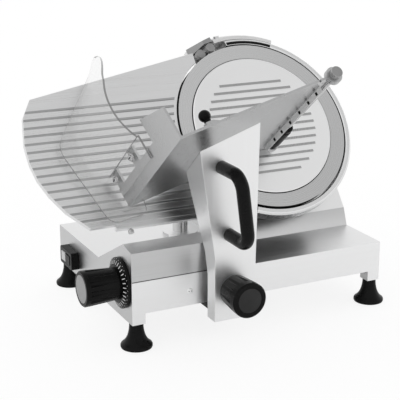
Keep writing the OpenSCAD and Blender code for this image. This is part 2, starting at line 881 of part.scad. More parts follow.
// A stone on its pin, which turns in the plate behind it
module stone(angle, front) {
    at_blade() rotate([0, 0, angle]) translate([stone_ring_r, 0, 0]) {
        translate([0, 0, front - stone_t]) cylinder(r = stone_r, h = stone_t);
        translate([0, 0, sharp_plate_back]) cylinder(r = stone_pin_r, h = front - sharp_plate_back);
    }
}
module grinding_stone() color([0.55, 0.52, 0.50]) stone(grinding_angle, grinding_front);
module honing_stone() color([0.45, 0.43, 0.42]) stone(honing_angle, honing_front);

// Column that carries the tray
column_x = 119;
column_t = 4;
column_low = 40;
column_flare_z = 144;
column_top_left = 93;
column_top_right = 194;
column_top_z = 380;
column_step_y = -3;
column_step_low = 110;
column_step_high = 164;
column_top_rear = 21;
column_top_rear_z = 269;
column_flare_x = column_x - (column_x - column_top_left)
    * (column_top_z - column_flare_z) / (319 / 144 * column_flare_z - column_flare_z);
stud_r = 5;
lock_x = 153;
lock_z = 87;
tray_cut = 700;

module column_face(inset) {
    polygon([
        [column_x + inset, column_low + inset], [column_x + column_w - inset, column_low + inset],
        [column_top_right - inset, column_top_z + inset], [column_flare_x + inset, column_top_z + inset],
        [column_x + inset, column_flare_z]
    ]);
}
module column_side() {
    polygon([
        [-column_front, column_low], [-column_rear, column_low], [-column_rear, column_step_low],
        [column_step_y, column_step_high], [column_top_rear, column_top_rear_z],
        [column_top_rear, column_top_z], [-column_front, column_top_z]
    ]);
}
module above_tray() {
    at_tray() translate([-tray_cut, -tray_t, -tray_cut]) cube([2 * tray_cut, 2 * tray_cut, 2 * tray_cut]);
}
module column() {
    color(cast_colour) difference() {
        in_place() intersection() {
            difference() {
                along_y(-column_front, column_front + column_top_rear) column_face(0);
                along_y(-column_front + column_t, column_front + column_top_rear + over)
                    column_face(column_t);
            }
            along_x(base_w) column_side();
        }
        above_tray();
        in_place() translate([lock_x, -column_front + column_t + over, lock_z])
            rod_front(stud_r + run, column_t + 2 * over);
    }
}

// Tray floor and side wall, with ears for the pusher rod
rod_u = 276;
rod_v = -2;
ear_r = 13;
ear_t = 8;
ear_root = 12;
tab_w = 22;
tab_top = 53;
tab_low_n = 15;
tab_high_n = 95;
tray_corner = 16;
module tray_floor() {
    rotate([90, 0, 0]) linear_extrude(tray_t) polygon([
        [-tray_t, tray_near], [tray_w, tray_near], [tray_w, tray_far - tray_corner],
        [tray_w - tray_corner, tray_far], [-tray_t, tray_far]
    ]);
}
module food_tray() {
    color(sheet_colour) at_tray() {
        tray_floor();
        rotate([0, -90, 0]) linear_extrude(tray_t) side_turned();
        for (n = [tab_low_n, tab_high_n])
            translate([-tray_t, side_low - over, n]) cube([tray_t, tab_top - side_low + over, tab_w]);
        for (n = [tray_near, tray_far - ear_t]) translate([0, 0, n]) difference() {
            union() {
                translate([rod_u, rod_v, 0]) cylinder(r = ear_r, h = ear_t);
                translate([tray_w - ear_root, -tray_t, 0]) cube([rod_u - tray_w + ear_root, tray_t, ear_t]);
            }
            translate([rod_u, rod_v, -over]) cylinder(r = rod_r, h = ear_t + 2 * over);
        }
    }
}
// The side wall's outline, turned so that its height runs up and its length along the blade axis
module side_turned() {
    polygon([
        [tray_near, -tray_t], [tray_near, side_low], [tray_far - side_high_l, side_low],
        [tray_far - side_high_l, side_high], [tray_far, side_end], [tray_far, -tray_t]
    ]);
}

// Clear hand guard: a bent wall along the blade axis and a flange beside the blade plane
guard_u = 79;
guard_v = 101;
guard_from = 138;
guard_to = 210;
guard_rise = 100;
guard_near = 8;
guard_trim_r = 300;
guard_trim_rise = 174;
guard_trim_n = -106;
guard_foot_low = 14;
flange_out = 38;
module guard_wall_outline() {
    translate([guard_u, guard_v]) {
        rotate([0, 0, guard_from]) arc_band(guard_bend_r, guard_t, guard_to - guard_from);
        rotate([0, 0, guard_from]) translate([guard_bend_r, -guard_rise]) square([guard_t, guard_rise]);
    }
    translate([-tray_t - gap - guard_t, guard_foot_low]) square([guard_t, tab_top - guard_foot_low]);
}
// A ring sector that starts on the X axis
module arc_band(r, t, angle) {
    intersection() {
        difference() {
            circle(r + t, $fn = 128);
            circle(r, $fn = 128);
        }
        polygon([[0, 0], [2 * r, 0], [2 * r * cos(angle / 2), 2 * r * sin(angle / 2)],
            [2 * r * cos(angle), 2 * r * sin(angle)]]);
    }
}
module guard_flange_outline() {
    difference() {
        hull() {
            translate([guard_u, guard_v]) rotate([0, 0, guard_from])
                translate([guard_bend_r - flange_out / 4, -guard_rise + flange_out / 4])
                    circle(flange_out / 4, $fn = 32);
            translate([guard_u, guard_v]) rotate([0, 0, (guard_from + guard_to) / 2])
                translate([guard_bend_r, 0]) circle(flange_out, $fn = 32);
            translate([-flange_out * 2 / 3, 0]) circle(flange_out / 2, $fn = 32);
            translate([flange_out / 3, -flange_out / 3]) circle(flange_out / 4, $fn = 32);
        }
        translate([guard_u, guard_v]) {
            circle(guard_bend_r, $fn = 128);
            rotate([0, 0, guard_from]) translate([-guard_bend_r, -2 * guard_rise])
                square([2 * guard_bend_r, 2 * guard_rise]);
        }
        translate([-tray_t - gap, 0]) square([tray_w, guard_v]);
    }
}
module hand_guard() {
    color([0.86, 0.90, 0.92, 0.4]) at_tray() {
        translate([0, 0, guard_near]) linear_extrude(guard_t) guard_flange_outline();
        intersection() {
            translate([0, 0, guard_near]) linear_extrude(guard_l) guard_wall_outline();
            guard_trim();
        }
    }
}
// A wide cylinder square to the guard's straight stretch rounds off its upper far corner
module guard_trim() {
    translate([guard_u, guard_v, 0]) rotate([0, 0, guard_from])
        translate([-2 * guard_bend_r, guard_trim_rise, guard_trim_n])
            rotate([0, 90, 0]) cylinder(r = guard_trim_r, h = 4 * guard_bend_r, $fn = 256);
}

guard_screw_r = 5;
guard_screw_v = 40;
guard_screw_t = 4;
module guard_screws() {
    color(chrome_colour) at_tray() for (n = [tab_low_n, tab_high_n])
        translate([-tray_t - gap - guard_t, guard_screw_v, n + tab_w / 2]) rotate([0, -90, 0])
            cylinder(r = guard_screw_r, h = guard_screw_t);
}

// Handle on the column, a U of round bar
handle_top_x = 129;
handle_top_z = 285;
handle_low_x = 143;
handle_low_z = 178;
handle_lean = atan((handle_low_x - handle_top_x) / (handle_top_z - handle_low_z));
handle_h = norm([handle_top_x - handle_low_x, handle_top_z - handle_low_z]);
handle_bend = 22;
module handle_corner() {
    rotate_extrude(angle = 90) translate([handle_bend, 0]) circle(handle_r, $fn = 32);
}
module carriage_handle() {
    color(black_colour) in_place() translate([handle_low_x, -column_front, handle_low_z])
        rotate([0, -handle_lean, 0]) {
            rod_front(handle_r, handle_reach - handle_bend);
            translate([0, 0, handle_h]) rod_front(handle_r, handle_reach - handle_bend);
            translate([0, -handle_reach, handle_bend])
                cylinder(r = handle_r, h = handle_h - 2 * handle_bend);
            translate([0, handle_bend - handle_reach, handle_bend]) rotate([0, 90, 0]) rotate([0, 0, -90])
                handle_corner();
            translate([0, handle_bend - handle_reach, handle_h - handle_bend]) rotate([0, -90, 0])
                rotate([0, 0, -90]) handle_corner();
        }
}

// Arm, block and bushes that carry the column on the slide rod
arm_x = 129;
arm_w = 48;
arm_low = column_low + column_t;
arm_t = 12;
arm_rear = 142;
block_x = 118;
block_w = 68;
block_half = 20;
block_top = 90;
bush_r = 13;
bush_l = 20;
shoe_side = 6;
shoe_top = 74;
module carriage_arm() {
    color(cast_colour) in_place() {
        translate([arm_x, -column_front + column_t, arm_low])
            cube([arm_w, arm_rear + column_front - column_t, arm_t]);
        for (y = [guide_y - guide_s / 2 - gap - shoe_side, guide_y + guide_s / 2 + gap])
            translate([arm_x, y, arm_low]) cube([arm_w, shoe_side, shoe_top - arm_low]);
    }
}
module slide_block() {
    color(cast_colour) in_place() difference() {
        translate([block_x, slide_y - block_half, arm_low + arm_t])
            cube([block_w, 2 * block_half, block_top - arm_low - arm_t]);
        translate([block_x - over, slide_y, slide_z]) rod_x(bush_r, block_w + 2 * over);
    }
}
module slide_bushes() {
    color([0.72, 0.55, 0.25]) in_place() for (x = [block_x, block_x + block_w - bush_l])
        translate([x, slide_y, slide_z]) difference() {
            rod_x(bush_r, bush_l);
            translate([-over, 0, 0]) rod_x(slide_r + run, bush_l + 2 * over);
        }
}

// Locking knob at the foot of the column
lock_neck_r = 25;
lock_cap_r = 19.5;
lock_rim = 12;
stud_l = 10;
module tray_lock_knob() {
    color(black_colour) in_place() translate([lock_x, -column_front - gap, lock_z]) rotate([90, 0, 0]) {
        fluted_grip(lock_neck_r, lock_r, lock_l, lock_cap_r, lock_rim);
        translate([0, 0, -stud_l]) cylinder(r = stud_r, h = stud_l + over);
    }
}
module tray_lock_cap() {
    color([0.16, 0.16, 0.17]) in_place() translate([lock_x, -column_front - gap - lock_l + cap_t, lock_z])
        rod_front(lock_cap_r, cap_t);
}

// Pusher: rod, sleeve, arm, toothed plate and ball
cap_end_r = 9;
cap_end_l = 10;
sleeve_start = tray_near + ear_t + gap;
pusher_sleeve_r = 9;
pusher_sleeve_l = 60;
collar_r = 11;
collar_l = 8;
pusher_hub_r = 12;
arm_end_u = 168;
arm_end_v = 60;
pusher_arm_w = 14;
pusher_arm_t = 12;
pusher_arm_n = 50;
plate_n = 44;
plate_t = 6;
plate_low_u = 96;
plate_high_u = 232;
plate_low_v = 0.5;
plate_high_v = 48;
tooth_r = 2;
tooth_h = 6;
tooth_pitch = 15;
ball_r = 10;
ball_v = 72;
module pusher_rod() {
    color(chrome_colour) at_tray() translate([rod_u, rod_v, tray_near])
        cylinder(r = rod_r, h = tray_l + cap_end_l / 2);
}
module rod_end_cap() {
    color(chrome_colour) at_tray() translate([rod_u, rod_v, tray_far]) difference() {
        cylinder(r = cap_end_r, h = cap_end_l);
        translate([0, 0, -over]) cylinder(r = rod_r, h = cap_end_l / 2 + over);
    }
}
module pusher_sleeve() {
    color(black_colour) at_tray() translate([rod_u, rod_v, sleeve_start]) difference() {
        union() {
            cylinder(r = pusher_sleeve_r, h = pusher_sleeve_l);
            for (n = [0, pusher_sleeve_l - collar_l]) translate([0, 0, n])
                cylinder(r = collar_r, h = collar_l);
        }
        translate([0, 0, -over]) cylinder(r = rod_r + run, h = pusher_sleeve_l + 2 * over);
    }
}
hub_l = pusher_sleeve_l - 2 * collar_l - 2 * gap;
module pusher_arm() {
    color(sheet_colour) at_tray() difference() {
        union() {
            translate([rod_u, rod_v, sleeve_start + collar_l + gap]) cylinder(r = pusher_hub_r, h = hub_l);
            translate([0, 0, pusher_arm_n]) linear_extrude(pusher_arm_t) polygon([
                [rod_u, rod_v], [rod_u, rod_v + pusher_hub_r],
                [arm_end_u + pusher_arm_w / 2, arm_end_v], [arm_end_u - pusher_arm_w / 2, arm_end_v],
                [arm_end_u - pusher_arm_w / 2, plate_high_v - pusher_arm_w],
                [tray_w, plate_low_v]
            ]);
        }
        translate([rod_u, rod_v, 0]) cylinder(r = pusher_sleeve_r + run, h = tray_far);
    }
}
module pusher_plate() {
    color(sheet_colour) at_tray() {
        translate([plate_low_u, plate_low_v, plate_n]) linear_extrude(plate_t)
            rounded(plate_high_u - plate_low_u, plate_high_v - plate_low_v, tooth_h);
        for (u = [plate_low_u + tooth_pitch : tooth_pitch : plate_high_u - tooth_pitch / 2],
             v = [plate_low_v + tooth_pitch / 2 : tooth_pitch : plate_high_v - tooth_pitch / 3])
            translate([u, v, plate_n - tooth_h])
                cylinder(r1 = tooth_r / 4, r2 = tooth_r, h = tooth_h + over, $fn = 16);
    }
}
module pusher_knob() {
    color(black_colour) at_tray() translate([arm_end_u, 0, pusher_arm_n + pusher_arm_t / 2])
        rotate([-90, 0, 0])
        rotate_extrude() intersection() {
            union() {
                translate([0, ball_v]) circle(ball_r, $fn = 48);
                translate([0, arm_end_v]) square([tooth_h, ball_v - arm_end_v]);
            }
            translate([0, arm_end_v]) square([2 * ball_r, ball_v]);
        }
}

base_housing();
bottom_cover();
foot_front_left();
foot_front_right();
foot_rear_left();
foot_rear_right();
cord_gland();
switch_box();
start_button();
stop_button();
slide_rod();
guide_bar();
gauge_post();
gauge_plate();
gauge_lip();
gauge_bracket();
gauge_spindle();
thickness_dial();
thickness_knob();
thickness_knob_cap();
thickness_spindle();
thickness_cam();
blade_carrier();
ring_plate();
ring_guard();
blade_axle();
blade_cover();
cover_release_knob();
blade();
blade_pulley();
blade_bearings();
blade_screws();
motor();
motor_pulley();
drive_belt();
sharpener_housing();
sharpener_bracket();
grinding_stone();
honing_stone();
column();
food_tray();
hand_guard();
guard_screws();
carriage_handle();
carriage_arm();
slide_block();
slide_bushes();
tray_lock_knob();
tray_lock_cap();
pusher_rod();
rod_end_cap();
pusher_sleeve();
pusher_arm();
pusher_plate();
pusher_knob();
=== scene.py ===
import json
import math

import bmesh
import bpy
from mathutils import Matrix, Vector


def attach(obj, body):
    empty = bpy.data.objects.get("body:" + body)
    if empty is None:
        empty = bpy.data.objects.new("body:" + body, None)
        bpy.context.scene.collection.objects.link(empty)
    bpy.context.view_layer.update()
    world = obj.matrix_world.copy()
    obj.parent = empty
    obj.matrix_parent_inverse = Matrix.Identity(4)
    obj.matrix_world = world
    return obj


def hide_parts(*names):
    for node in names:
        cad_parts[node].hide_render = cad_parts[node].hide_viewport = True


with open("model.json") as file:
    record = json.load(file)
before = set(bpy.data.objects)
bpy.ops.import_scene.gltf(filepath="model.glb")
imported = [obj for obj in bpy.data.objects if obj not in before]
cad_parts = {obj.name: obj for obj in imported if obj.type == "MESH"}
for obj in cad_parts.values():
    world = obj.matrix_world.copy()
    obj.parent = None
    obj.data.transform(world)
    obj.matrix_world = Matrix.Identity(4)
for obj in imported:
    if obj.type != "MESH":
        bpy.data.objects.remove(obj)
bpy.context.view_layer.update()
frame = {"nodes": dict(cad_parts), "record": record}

# The photograph's camera, in the part's frame
FRAME_PX = 400
FOCAL_PX = 1106.7
SENSOR_MM = 36
CAMERA_AT = Vector((-0.7684, -1.5377, 0.7138))
CAMERA_AZIMUTH = math.radians(26.20)
CAMERA_PITCH = math.radians(16.98)
CAMERA_NEAR, CAMERA_FAR = 0.05, 60

# Places that part.scad gives, in millimetres. The base's frame starts on the table at the
# housing's front left corner: x runs to the right, y to the back and z up.
ORIGIN = (176.0, 101.371)
BASE_W = 450
FOOT_IN = 11
REAR_FOOT_Y = 309
FRONT_DEPTH = 20
CONTROL_W = 150
SEAM_Z = 108.5
DECK_Z = 107
KNOB = (40, 97.5)
BLADE = (300, 137, 296)
LEAN = math.radians(38.5)
# The blade's frame: x runs to the right, y up the blade's face and z out of it
GUTTER = (-276, -113)
TILT = math.radians(14.8)
# The tray's frame starts at the gutter: x runs over the tray's floor, y off it, z as the blade's
GUARD_OUT = -7.3
GUARD_BEND = Vector((79, 101))


def make_camera():
    data = bpy.data.cameras.new("camera")
    data.sensor_width = SENSOR_MM
    data.lens = FOCAL_PX / FRAME_PX * data.sensor_width
    camera = bpy.data.objects.new("camera", data)
    bpy.context.scene.collection.objects.link(camera)
    ahead = Vector((
        math.sin(CAMERA_AZIMUTH) * math.cos(CAMERA_PITCH),
        math.cos(CAMERA_AZIMUTH) * math.cos(CAMERA_PITCH),
        -math.sin(CAMERA_PITCH),
    ))
    camera.rotation_mode = "QUATERNION"
    camera.location = CAMERA_AT
    camera.rotation_quaternion = ahead.to_track_quat("-Z", "Y")
    data.clip_start, data.clip_end = CAMERA_NEAR, CAMERA_FAR
    bpy.context.scene.camera = camera


make_camera()


def spot(x, y, z=0.0):
    return Matrix.Translation((x, y, z))


MM = Matrix.Scale(0.001, 4)
FACING_FRONT = Matrix.Rotation(math.radians(90), 4, "X")
FACING_LEFT = Matrix.Rotation(math.radians(-90), 4, "Y")
IN_BASE = MM @ spot(-ORIGIN[0], -ORIGIN[1])
AT_BLADE = IN_BASE @ spot(*BLADE) @ Matrix.Rotation(math.radians(90) - LEAN, 4, "X")
AT_TRAY = AT_BLADE @ spot(*GUTTER) @ Matrix.Rotation(TILT, 4, "Z")
AT_KNOB = IN_BASE @ spot(0, *KNOB) @ FACING_LEFT
FROM_BLADE = AT_BLADE.inverted()
FROM_TRAY = AT_TRAY.inverted()
FROM_KNOB = AT_KNOB.inverted()
TRAY_TURN = FROM_TRAY.to_3x3()
BLADE_OUT = Vector((0, -math.cos(LEAN), math.sin(LEAN)))


# ---- materials

# Noise scales: of the brushing, across it and along it, and of the rings of turned metal
FINE_ACROSS, FINE_ALONG = 1500.0, 9.0
WIDE_ACROSS, WIDE_ALONG = 120.0, 1.5
RINGS = 900.0
# The part of a noise's range that is spread over two colours or two values
NOISE_LOW, NOISE_HIGH = 0.3, 0.7
BUMP_M = 0.0002
METAL_RELIEF = 0.06
LINES_SHARE = 0.6
BRUSHED_WARMTH, CAST_WARMTH = -0.004, -0.003


class Nodes:
    """Builds a small node tree around a Principled shader."""

    def __init__(self, name):
        self.material = bpy.data.materials.new(name)
        self.material.use_nodes = True
        self.tree = self.material.node_tree
        self.shader = self.tree.nodes["Principled BSDF"]
        self.place = self.add("ShaderNodeTexCoord").outputs["Object"]

    def add(self, kind, **values):
        node = self.tree.nodes.new(kind)
        for key, value in values.items():
            setattr(node, key, value)
        return node

    def link(self, out, into):
        self.tree.links.new(out, into)

    def noise(self, scale, detail, stretch=(1, 1, 1), turn=(0, 0, 0)):
        """A noise over the piece's metres, which stretch and turn can give a direction."""
        place = self.add("ShaderNodeMapping")
        place.inputs["Scale"].default_value = stretch
        place.inputs["Rotation"].default_value = turn
        self.link(self.place, place.inputs["Vector"])
        noise = self.add("ShaderNodeTexNoise")
        noise.inputs["Scale"].default_value = scale
        noise.inputs["Detail"].default_value = detail
        self.link(place.outputs["Vector"], noise.inputs["Vector"])
        return noise.outputs["Fac"]

    def around(self, noise, value, less, more):
        """A value that the noise moves down by up to less, and up by up to more."""
        r = self.add("ShaderNodeMapRange")
        r.inputs["From Min"].default_value = NOISE_LOW
        r.inputs["From Max"].default_value = NOISE_HIGH
        r.inputs["To Min"].default_value = value - less
        r.inputs["To Max"].default_value = value + more
        self.link(noise, r.inputs["Value"])
        return r.outputs["Result"]

    def maths(self, kind, a, b=0.0):
        m = self.add("ShaderNodeMath", operation=kind)
        for i, x in enumerate((a, b)):
            if isinstance(x, (int, float)):
                m.inputs[i].default_value = x
            else:
                self.link(x, m.inputs[i])
        return m.outputs[0]

    def tone(self, noise, dark, light):
        r = self.add("ShaderNodeValToRGB")
        first, last = r.color_ramp.elements
        first.color, first.position = (*dark, 1), NOISE_LOW
        last.color, last.position = (*light, 1), NOISE_HIGH
        self.link(noise, r.inputs["Fac"])
        return r.outputs["Color"]

    def colour(self, out):
        self.link(out, self.shader.inputs["Base Color"])

    def roughness(self, out):
        self.link(out, self.shader.inputs["Roughness"])

    def bump(self, height, strength):
        b = self.add("ShaderNodeBump")
        b.inputs["Strength"].default_value = strength
        b.inputs["Distance"].default_value = BUMP_M
        self.link(height, b.inputs["Height"])
        self.link(b.outputs["Normal"], self.shader.inputs["Normal"])

    def set(self, **values):
        for key, value in values.items():
            self.shader.inputs[key.replace("_", " ")].default_value = value
        return self


def grey(v, warmth=0.0):
    return (v + warmth, v, v - warmth)


def brushed(name, level, rough, along, turn=(0, 0, 0), spread=0.02, relief=METAL_RELIEF / 2):
    """Anodised sheet whose fine brushing runs along one axis."""
    n = Nodes(name)
    n.set(Metallic=1.0)
    axis = "xyz".index(along)
    fine, wide = [FINE_ACROSS] * 3, [WIDE_ACROSS] * 3
    fine[axis], wide[axis] = FINE_ALONG, WIDE_ALONG
    lines = n.noise(scale=1, detail=2, stretch=fine, turn=turn)
    bands = n.noise(scale=1, detail=3, stretch=wide, turn=turn)
    cloud = n.noise(scale=9, detail=2)
    mixed = n.maths("ADD", n.maths("MULTIPLY", lines, LINES_SHARE),
                    n.maths("MULTIPLY", bands, 1 - LINES_SHARE))
    n.colour(n.tone(mixed, grey(level - spread), grey(level + spread, BRUSHED_WARMTH)))
    n.roughness(n.maths("ADD", n.around(mixed, rough, less=0.05, more=0.05),
                        n.around(cloud, 0, less=0.01, more=0.01)))
    if relief:
        n.bump(lines, relief)
    return n.material


def cast_metal(name, level, rough, spread=0.03, metallic=1.0):
    """Cast and anodised aluminium with a very fine even grain."""
    n = Nodes(name)
    n.set(Metallic=metallic)
    grain = n.noise(scale=900, detail=2)
    cloud = n.noise(scale=7, detail=3)
    n.colour(n.tone(cloud, grey(level - spread), grey(level + spread, CAST_WARMTH)))
    n.roughness(n.around(grain, rough, less=0.05, more=0.06))
    n.bump(grain, METAL_RELIEF)
    return n.material


def turned(name, level, rough, spread=0.03):
    """Ground or turned metal, with fine rings round the blade's axis."""
    n = Nodes(name)
    n.set(Metallic=1.0)
    at, turn, _ = AT_BLADE.decompose()
    # the point is first moved to the axis, then turned upright
    shift = n.add("ShaderNodeVectorMath", operation="SUBTRACT")
    n.link(n.place, shift.inputs[0])
    shift.inputs[1].default_value = at
    upright = n.add("ShaderNodeMapping", vector_type="POINT")
    upright.inputs["Rotation"].default_value = turn.inverted().to_euler()
    n.link(shift.outputs[0], upright.inputs["Vector"])
    parts = n.add("ShaderNodeSeparateXYZ")
    n.link(upright.outputs["Vector"], parts.inputs[0])
    squares = [n.maths("POWER", parts.outputs[i], 2.0) for i in range(2)]
    radius = n.maths("SQRT", n.maths("ADD", *squares))
    wave = n.add("ShaderNodeTexNoise", noise_dimensions="1D")
    wave.inputs["Scale"].default_value = RINGS
    wave.inputs["Detail"].default_value = 2
    n.link(radius, wave.inputs["W"])
    rings = wave.outputs["Fac"]
    cloud = n.noise(scale=8, detail=2)
    n.colour(n.tone(rings, grey(level - spread), grey(level + spread, CAST_WARMTH)))
    n.roughness(n.maths("ADD", n.around(rings, rough, less=0.04, more=0.05),
                        n.around(cloud, 0, less=0.02, more=0.02)))
    n.bump(rings, METAL_RELIEF)
    return n.material


def polished(name, level, rough=0.06, spread=0.02):
    """Chrome plate or bright steel, very faintly uneven."""
    n = Nodes(name)
    n.set(Metallic=1.0)
    n.colour(n.tone(n.noise(scale=60, detail=2), grey(level - spread), grey(level + spread)))
    n.roughness(n.around(n.noise(scale=25, detail=3), rough, less=0, more=0.05))
    return n.material


def plastic(name, level, rough, specular, grain=1400.0, depth=0.05, spread=0.25):
    """Moulded plastic, rubber, paint or stone with a grain."""
    n = Nodes(name)
    n.set(Specular_IOR_Level=specular)
    cloud = n.noise(scale=30, detail=3)
    fine = n.noise(scale=grain, detail=2)
    n.colour(n.tone(cloud, grey(level * (1 - spread)), grey(level * (1 + spread))))
    n.roughness(n.around(n.noise(scale=80, detail=3), rough, less=0.05, more=0.07))
    n.bump(fine, depth)
    return n.material


def brass(name, dark, light):
    n = Nodes(name)
    n.set(Metallic=1.0, Roughness=0.3)
    n.colour(n.tone(n.noise(scale=60, detail=2), dark, light))
    return n.material


def acrylic(name, level, alpha, spread=0.02):
    """Clear sheet that lets what is behind it through."""
    n = Nodes(name)
    n.set(Roughness=0.04, Alpha=alpha)
    n.colour(n.tone(n.noise(scale=14, detail=2), grey(level - spread), grey(level + spread)))
    return n.material


HOUSING = cast_metal("cast_housing", level=0.90, rough=0.36)
DECK = brushed("brushed_deck", level=0.84, rough=0.38, along="x")
FRONT = brushed("brushed_front", level=0.93, rough=0.40, along="x", spread=0.015)
# Painted shade: the control panel's upper front and the sides, with the front band above the deck,
# take darker copies of the same brushed metal, which stand in for the shade on faces turned from
# the light.
PANEL_SHADE = brushed("brushed_panel_painted_shade", level=0.62, rough=0.34, along="x", spread=0.03)
SIDE_SHADE = brushed("brushed_side_painted_shade", level=0.62, rough=0.36, along="y")
COLUMN = brushed("brushed_column", level=0.92, rough=0.38, along="z", spread=0.015)
TRAY = brushed("brushed_tray", level=0.54, rough=0.30, along="z",
               turn=(math.radians(90) - LEAN, 0, 0), relief=0)
PLATE = brushed("brushed_gauge", level=0.82, rough=0.30, along="x")
# Painted shade: the gauge plate's ribs are a darker copy of its brushed metal, which stands in for
# the shade along each rib.
RIB_SHADE = brushed("brushed_rib_painted_shade", level=0.44, rough=0.30, along="x")
RING = turned("turned_ring", level=0.80, rough=0.26, spread=0.02)
COVER = turned("turned_cover", level=0.93, rough=0.34, spread=0.012)
# Painted shade: the cover's ribs are a darker copy of its turned metal, which stands in for the
# shade along each rib.
COVER_RIB_SHADE = turned("turned_cover_rib_painted_shade", level=0.42, rough=0.30, spread=0.015)
BEVEL = turned("ground_bevel", level=0.62, rough=0.26, spread=0.02)
# Painted shade: the blade's face inside its bevel, seen as a thin dark circle round the cover.
BLADE_SHADE = turned("shaded_blade", level=0.07, rough=0.35)
CHROME = polished("chrome_plate", level=0.62)
DARK_CHROME = polished("dark_chrome", level=0.36, rough=0.08)
STEEL = polished("bright_steel", level=0.50, rough=0.16)
COVER_GREY = cast_metal("cast_end_cover", level=0.36, rough=0.36)
DRUM = cast_metal("cast_drum", level=0.22, rough=0.42, metallic=0.6)
BLACK = plastic("black_plastic", level=0.006, rough=0.24, specular=0.10)
BLACK_MATT = plastic("black_matt", level=0.012, rough=0.5, specular=0.1)
RUBBER = plastic("black_rubber", level=0.006, rough=0.30, specular=0.10)
CAP_GREY = plastic("grey_cap", level=0.33, rough=0.35, specular=0.3, spread=0.05)
CAP_DARK = plastic("dark_cap", level=0.03, rough=0.38, specular=0.2)
BUTTON_PALE = plastic("pale_button", level=0.62, rough=0.3, specular=0.4, spread=0.04)
WHITE_CAP = plastic("white_cap", level=0.78, rough=0.34, specular=0.4, spread=0.03)
# Dark paint for the carriage arm and the motor, and painted shade on the drum and ring plate
# behind the blade and round their lower part.
DARK_PAINT_AND_SHADE = plastic("dark_paint_and_painted_shade", level=0.02, rough=0.45, specular=0.2, grain=700)
# Near-black: the housing's seam as a dark joint and the tray strip's notches, and painted shade in
# the apron screw's holes, the guard screws' slots and the sharpener's slot, drawn as dark pieces
# on the surface.
DARK_JOINT_AND_SLOT_SHADE = plastic("dark_joint_and_slot_painted_shade", level=0.006, rough=0.6, specular=0.1)
MARK = plastic("white_mark", level=0.8, rough=0.5, specular=0.3, spread=0.04)
BRASS = brass("plain_brass", (0.50, 0.34, 0.12), (0.60, 0.42, 0.17))
STONE = plastic("grit_stone", level=0.32, rough=0.9, specular=0.1, grain=500, depth=0.6,
                spread=0.2)
CLEAR = acrylic("clear_acrylic", level=0.80, alpha=0.13)
# Painted shade: a grey, nearly opaque outline on the guard's cut edges, which stands in for the
# light they bend.
CLEAR_EDGE_SHADE = acrylic("clear_acrylic_edge_painted_shade", level=0.26, alpha=0.9)


# ---- pieces

BODY_OF = {n: b for b, ns in frame["record"]["behaviour"]["bodies"].items() for n in ns}

# Points nearer than this become one, and so do faces that meet flatter than this
MERGE_M = 2e-6
FLAT = math.radians(0.4)
# The pieces that the scene adds are smooth over edges up to this angle
ADDED_ANGLE = 35
NORMAL_WEIGHT = 80
# The share of a face's normal along an axis from which the face counts as square to it,
# as nearly so, or as turned to its side
SQUARE_SHARE, LEVEL_SHARE, FACING_SHARE = 0.9, 0.85, 0.5


def link_piece(name, mesh, materials, body, nodes=()):
    piece = bpy.data.objects.new(name, mesh)
    bpy.context.scene.collection.objects.link(piece)
    for m in materials:
        mesh.materials.append(m)
    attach(piece, body)
    if nodes:
        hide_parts(*nodes)
    return piece


def clean_bmesh(node):
    """A CAD node's mesh with its flat faces made whole again."""
    source = frame["nodes"][node].data
    bm = bmesh.new()
    verts = [bm.verts.new(v.co) for v in source.vertices]
    for p in source.polygons:
        try:
            bm.faces.new([verts[i] for i in p.vertices])
        except ValueError:
            pass
    bmesh.ops.remove_doubles(bm, verts=bm.verts[:], dist=MERGE_M)
    bmesh.ops.dissolve_limit(bm, angle_limit=FLAT, verts=bm.verts[:], edges=bm.edges[:])
    return bm


def soften(piece, edge, segments, angle):
    """Smooth shading with sharp edges from angle on, rounded by edge millimetres."""
    mesh = piece.data
    mesh.polygons.foreach_set("use_smooth", [True] * len(mesh.polygons))
    mesh.set_sharp_from_angle(angle=math.radians(angle))
    if edge:
        b = piece.modifiers.new("edges", "BEVEL")
        b.width = edge / 1000
        b.segments = segments
        b.limit_method = "ANGLE"
        b.angle_limit = math.radians(angle)
        b.use_clamp_overlap = True
        b.harden_normals = True
    w = piece.modifiers.new("shading", "WEIGHTED_NORMAL")
    w.keep_sharp = True
    w.weight = NORMAL_WEIGHT


def dress(node, materials, edge, segments=2, angle=30, choose=None, cut_z=None):
    """A copy of a CAD node with softened edges, which may be cut in two at a height.

    choose(face centre, normal) gives the place of the face's material among materials, or
    whether the face takes the second of two.
    """
    bm = clean_bmesh(node)
    if cut_z:
        bmesh.ops.bisect_plane(bm, geom=bm.verts[:] + bm.edges[:] + bm.faces[:],
                               plane_co=(0, 0, cut_z / 1000), plane_no=(0, 0, 1))
    if choose:
        bm.normal_update()
        for f in bm.faces:
            f.material_index = int(choose(f.calc_center_median(), f.normal))
    mesh = bpy.data.meshes.new(node + "_dressed")
    bm.to_mesh(mesh)
    bm.free()
    piece = link_piece(node + "_dressed", mesh, materials, BODY_OF[node], [node])
    soften(piece, edge, segments, angle)


def add(name, bm, matrix, material, body, nodes=()):
    """A piece of the scene's own, drawn in millimetres in the frame that matrix gives."""
    mesh = bpy.data.meshes.new(name)
    bmesh.ops.transform(bm, matrix=matrix, verts=bm.verts[:])
    bmesh.ops.recalc_face_normals(bm, faces=bm.faces[:])
    bm.to_mesh(mesh)
    bm.free()
    piece = link_piece(name, mesh, [material], body, nodes)
    soften(piece, 0, 0, ADDED_ANGLE)


